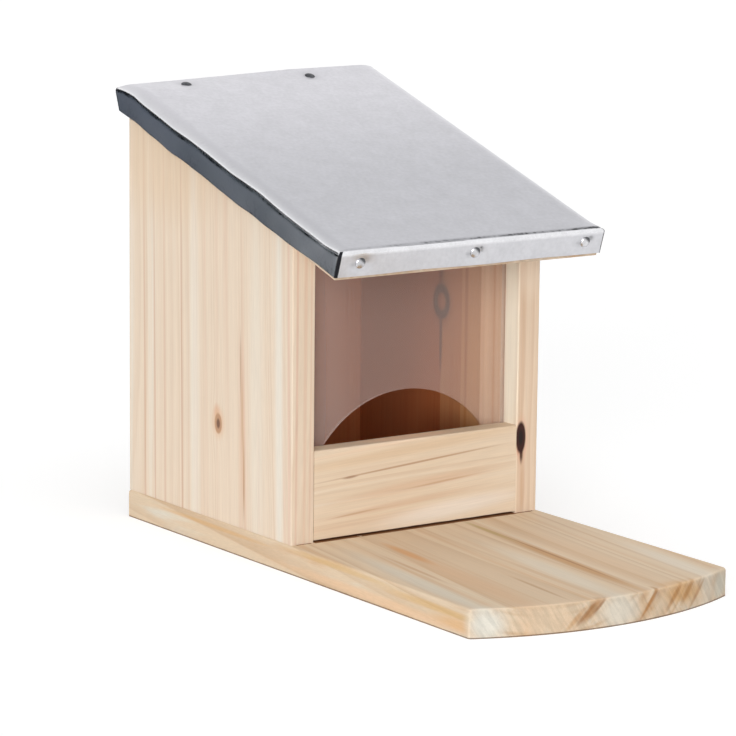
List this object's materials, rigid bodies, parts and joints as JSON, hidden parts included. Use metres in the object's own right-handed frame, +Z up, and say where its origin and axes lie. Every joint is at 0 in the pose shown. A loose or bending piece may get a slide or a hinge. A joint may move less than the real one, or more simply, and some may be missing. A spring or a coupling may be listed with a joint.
{
  "type": "squirrel feeder",
  "caption": "Small wooden house on a long base board, with a clear arched pane for reaching the feed, an open deck in front and a hinged, metal-clad roof that lifts for filling.",
  "frame": {"origin": "centre of the base board's underside", "axes": "+Z up, +Y towards the back panel, +X to the right seen from the deck"},
  "size_m": [0.1252, 0.2543, 0.18],
  "materials": {
    "raw_spruce": "planed, untreated",
    "clear_acrylic": "clear extruded sheet",
    "galvanised_sheet": "zinc coated, folded",
    "galvanised_nail": "zinc coated",
    "bright_nail": "bright drawn",
    "zinc_plated_screw": "zinc plated",
    "zinc_plated_hinge": "zinc plated"
  },
  "bodies": {
    "house": {"base_board": "raw_spruce", "left_side_panel": "raw_spruce", "right_side_panel": "raw_spruce", "back_panel": "raw_spruce", "front_board": "raw_spruce", "window_pane": "clear_acrylic", "left_hinge_lower_leaf": "zinc_plated_hinge", "right_hinge_lower_leaf": "zinc_plated_hinge", "left_hinge_pin": "zinc_plated_hinge", "right_hinge_pin": "zinc_plated_hinge", "lower_leaf_screws": "zinc_plated_screw", "side_panel_nails": "bright_nail", "back_panel_nails": "bright_nail", "front_board_nails": "bright_nail"},
    "roof": {"roof_board": "raw_spruce", "roof_sheet": "galvanised_sheet", "roof_front_nails": "galvanised_nail", "roof_rear_nails": "galvanised_nail", "left_hinge_upper_leaf": "zinc_plated_hinge", "right_hinge_upper_leaf": "zinc_plated_hinge", "upper_leaf_screws": "zinc_plated_screw"}
  },
  "joints": [
    {"name": "roof_hinge", "type": "hinge", "parent": "house", "child": "roof", "pos_m": [0, 0.1273, 0.16697], "axis": [-1, 0, 0], "range_deg": [0, 110]}
  ]
}
